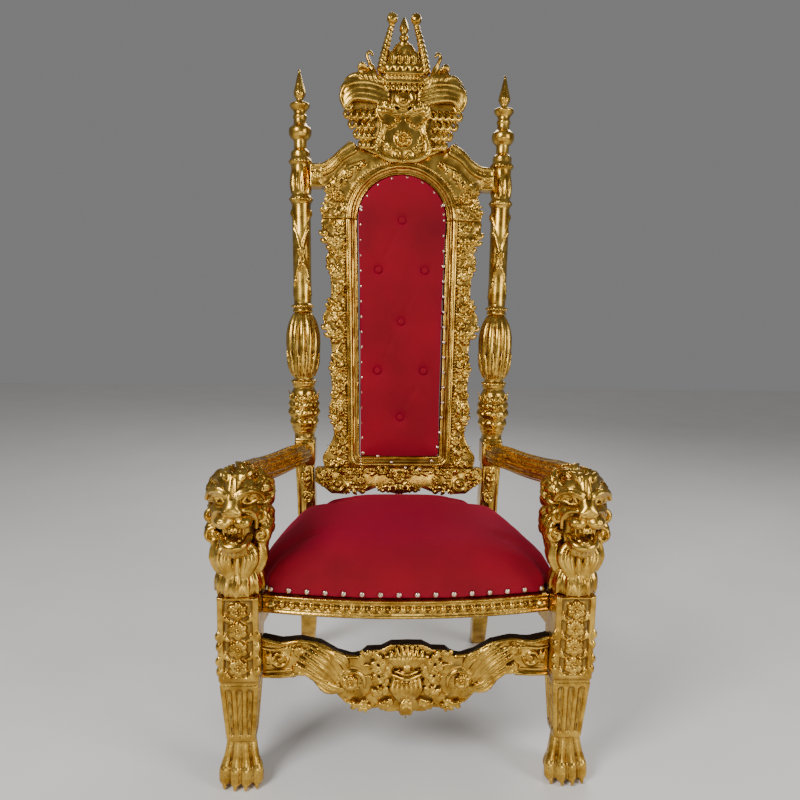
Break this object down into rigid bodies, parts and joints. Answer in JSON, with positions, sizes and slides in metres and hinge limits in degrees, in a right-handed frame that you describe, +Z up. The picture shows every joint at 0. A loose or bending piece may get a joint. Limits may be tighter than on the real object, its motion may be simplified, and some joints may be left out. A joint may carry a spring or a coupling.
{
  "type": "throne",
  "caption": "High-backed throne chair in carved gilt wood, with lion-head arms, turned columns, a crowned crest and crimson velvet upholstery.",
  "frame": {"origin": "on the floor under the middle of the throne's bounding box", "axes": "+Z up, the seat faces -Y, +X to the right as seen from the front"},
  "size_m": [0.867, 0.7564, 1.799],
  "materials": {
    "gilt_wood": "bright gold leaf over carved and gessoed wood, warm red-brown in the hollows",
    "velvet": "deep crimson velvet pile with a soft sheen",
    "dust_cloth": "seat board covered in black dust cloth"
  },
  "bodies": {
    "root": {"front_leg_right": "gilt_wood", "front_leg_left": "gilt_wood", "lion_right": "gilt_wood", "lion_left": "gilt_wood", "arm_right": "gilt_wood", "arm_left": "gilt_wood", "rear_leg_right": "gilt_wood", "rear_leg_left": "gilt_wood", "column_right": "gilt_wood", "column_left": "gilt_wood", "front_rail": "gilt_wood", "side_rail_right": "gilt_wood", "side_rail_left": "gilt_wood", "back_rail": "gilt_wood", "front_stretcher": "gilt_wood", "stile_right": "gilt_wood", "stile_left": "gilt_wood", "bottom_rail": "gilt_wood", "top_rail": "gilt_wood", "crest": "gilt_wood", "seat_cushion": "velvet", "back_panel": "velvet", "back_cover": "velvet", "tuft_button_1": "velvet", "tuft_button_2": "velvet", "tuft_button_3": "velvet", "tuft_button_4": "velvet", "tuft_button_5": "velvet", "tuft_button_6": "velvet", "tuft_button_7": "velvet", "seat_base": "dust_cloth"}
  },
  "joints": []
}
